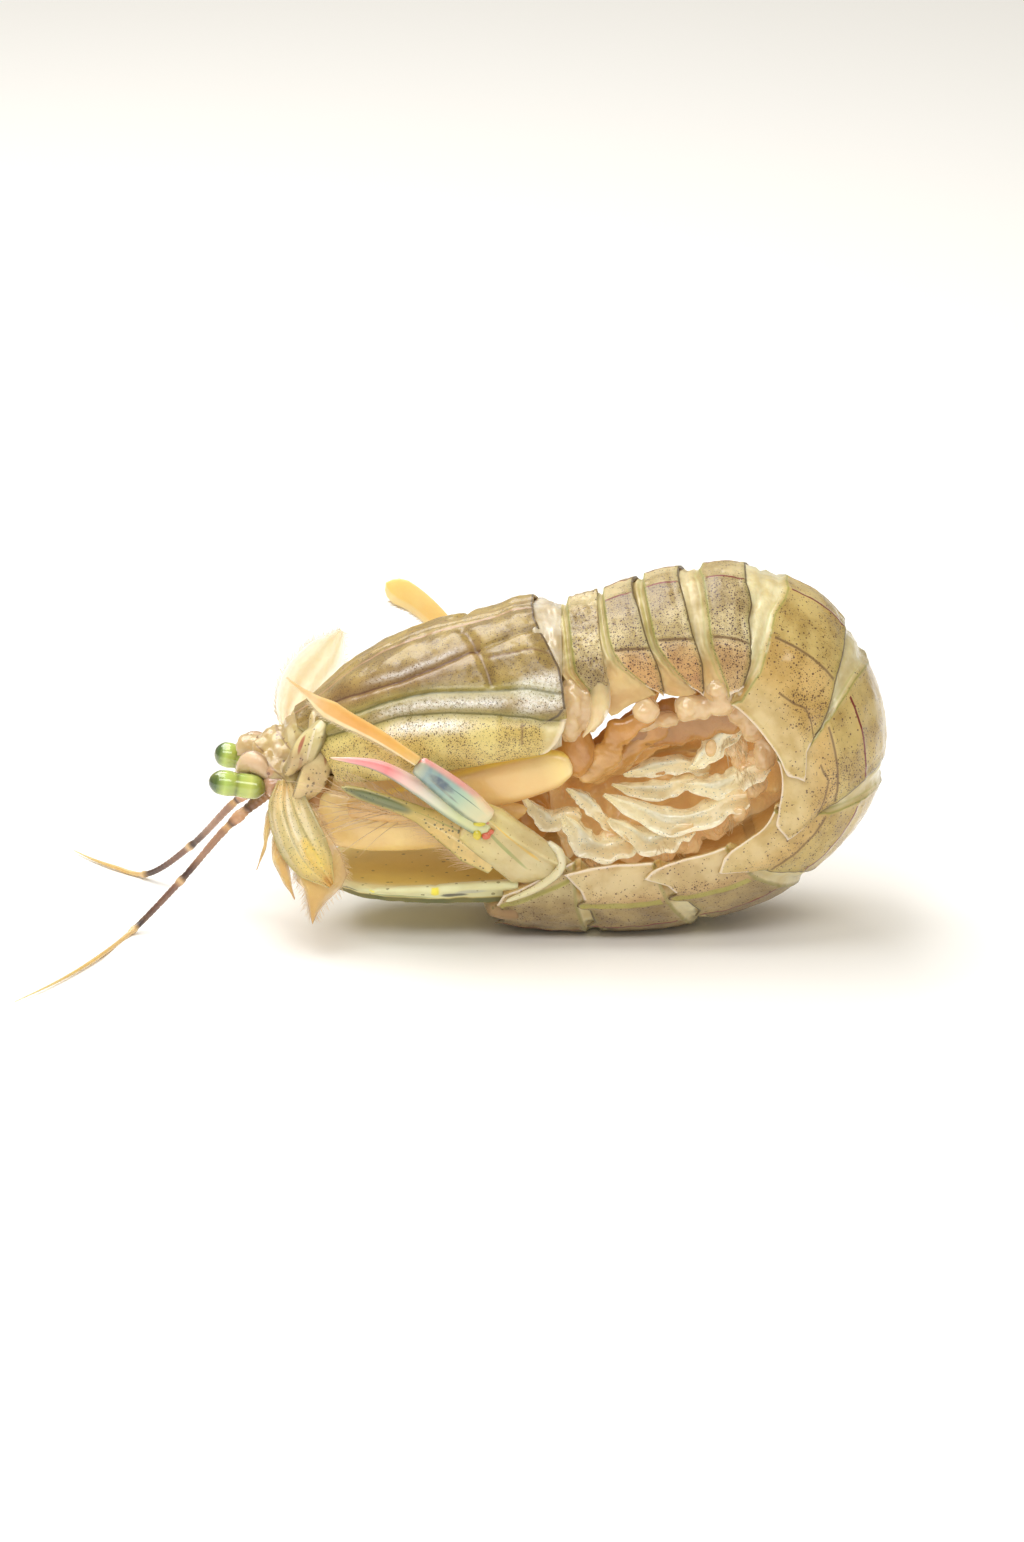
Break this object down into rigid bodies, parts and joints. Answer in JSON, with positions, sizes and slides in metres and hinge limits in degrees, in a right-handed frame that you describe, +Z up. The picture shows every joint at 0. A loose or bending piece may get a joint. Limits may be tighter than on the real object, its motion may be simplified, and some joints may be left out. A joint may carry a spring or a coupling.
{
  "type": "raw mantis shrimp",
  "caption": "Raw mantis shrimp curled on its back plates, the tail fan folded up beside the head; a whole shellfish to cook.",
  "frame": {"origin": "on the surface it lies on, under the middle of the whole animal's box, feelers included", "axes": "+Z up; the head looks along -X and the curl of the tail is at +X; the left side faces -Y"},
  "size_m": [0.0864, 0.043, 0.0372],
  "materials": {
    "back_shell": "wet, slightly see-through shell, olive tan with fine dark speckles",
    "belly_tissue": "wet orange-tan flesh seen through thin skin",
    "head_shell": "wet pinkish tan, see-through",
    "eye": "glossy green with dark ends and a dark band",
    "feeler": "brown joints that fade to golden tips",
    "scale": "thin yellow-olive leaf with an orange hair fringe",
    "claw": "cream to orange with a bright yellow edge",
    "leg": "see-through orange",
    "swimmeret": "cream crinkled leaves with white folds",
    "fan_base": "cream with yellow lines, a red joint spot and a pink spine",
    "fan_outer": "blue-grey with a pink outer edge",
    "fan_blade": "thin orange blade with a hair fringe",
    "fan_inner": "dark olive, speckled, with a hair fringe"
  },
  "bodies": {
    "root": {"thorax_5": "back_shell", "thorax_6": "back_shell", "thorax_7": "back_shell", "thorax_8": "back_shell", "tail_1": "back_shell", "tail_2": "back_shell", "tail_3": "back_shell", "tail_4": "back_shell", "tail_5": "back_shell", "tail_6": "back_shell", "carapace": "back_shell", "telson": "back_shell", "head": "head_shell", "eye_left": "eye", "feeler_left": "feeler", "scale_left": "scale", "eye_right": "eye", "feeler_right": "feeler", "scale_right": "scale", "mouthparts": "belly_tissue", "chest": "belly_tissue", "claw_left_arm": "claw", "claw_left_hand": "claw", "claw_right_arm": "claw", "claw_right_hand": "claw", "leg_left_1": "leg", "leg_left_2": "leg", "leg_left_3": "leg", "leg_right_1": "leg", "leg_right_2": "leg", "leg_right_3": "leg", "swimmeret_left_1": "swimmeret", "swimmeret_left_2": "swimmeret", "swimmeret_left_3": "swimmeret", "swimmeret_left_4": "swimmeret", "swimmeret_left_5": "swimmeret", "swimmeret_right_1": "swimmeret", "swimmeret_right_2": "swimmeret", "swimmeret_right_3": "swimmeret", "swimmeret_right_4": "swimmeret", "swimmeret_right_5": "swimmeret", "fan_left_base": "fan_base", "fan_left_outer": "fan_outer", "fan_left_blade": "fan_blade", "fan_left_inner": "fan_inner", "fan_right_base": "fan_base", "fan_right_outer": "fan_outer", "fan_right_blade": "fan_blade", "fan_right_inner": "fan_inner"}
  },
  "joints": []
}
